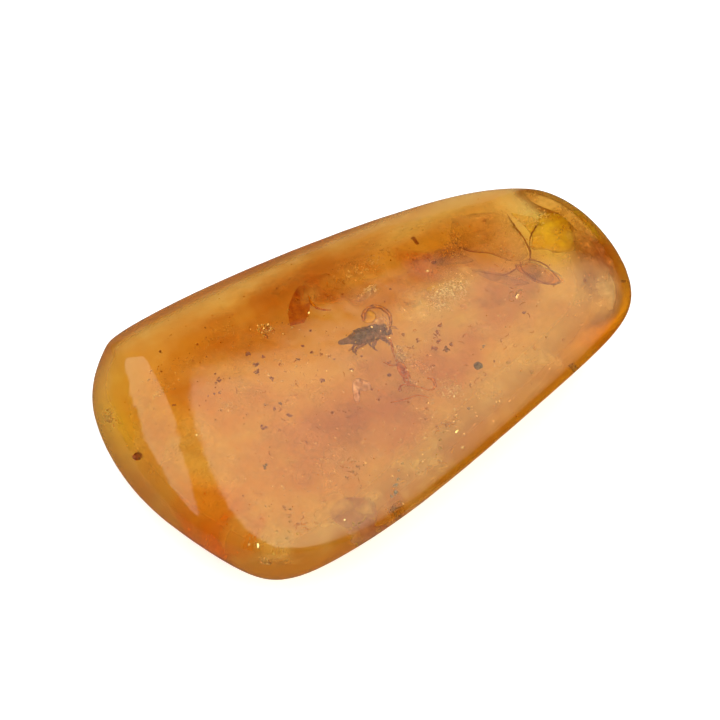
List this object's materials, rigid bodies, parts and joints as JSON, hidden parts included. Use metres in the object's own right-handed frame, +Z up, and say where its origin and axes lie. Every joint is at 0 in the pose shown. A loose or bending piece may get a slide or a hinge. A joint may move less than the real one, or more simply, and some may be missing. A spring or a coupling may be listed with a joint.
{
  "type": "insect in amber",
  "caption": "Hand-polished clear amber nugget with a small insect and plant debris sealed inside, lying on a flat underside.",
  "frame": {"origin": "under the middle of the nugget, on the surface that it lies on", "axes": "+X along the nugget's length, from its wide end to its narrow end; +Z up, out of its broad polished top"},
  "size_m": [0.043, 0.0286, 0.0074],
  "materials": {
    "clear_amber": "clear honey-orange amber, hand polished, with haze, bubbles and healed cracks inside",
    "insect_body": "dark grey-brown insect cuticle, satin",
    "red_bark": "thin dark red-brown bark flake, matt",
    "dry_stem": "reddish dry plant fibre, matt",
    "dirt": "dark grey-brown grain, rough",
    "husk": "very dark brown seed husk, satin"
  },
  "bodies": {
    "root": {"amber_lower": "clear_amber", "amber_upper": "clear_amber", "insect": "insect_body", "bark_flake": "red_bark", "plant_shred": "dry_stem", "dirt_grain": "dirt", "seed": "husk"}
  },
  "joints": []
}
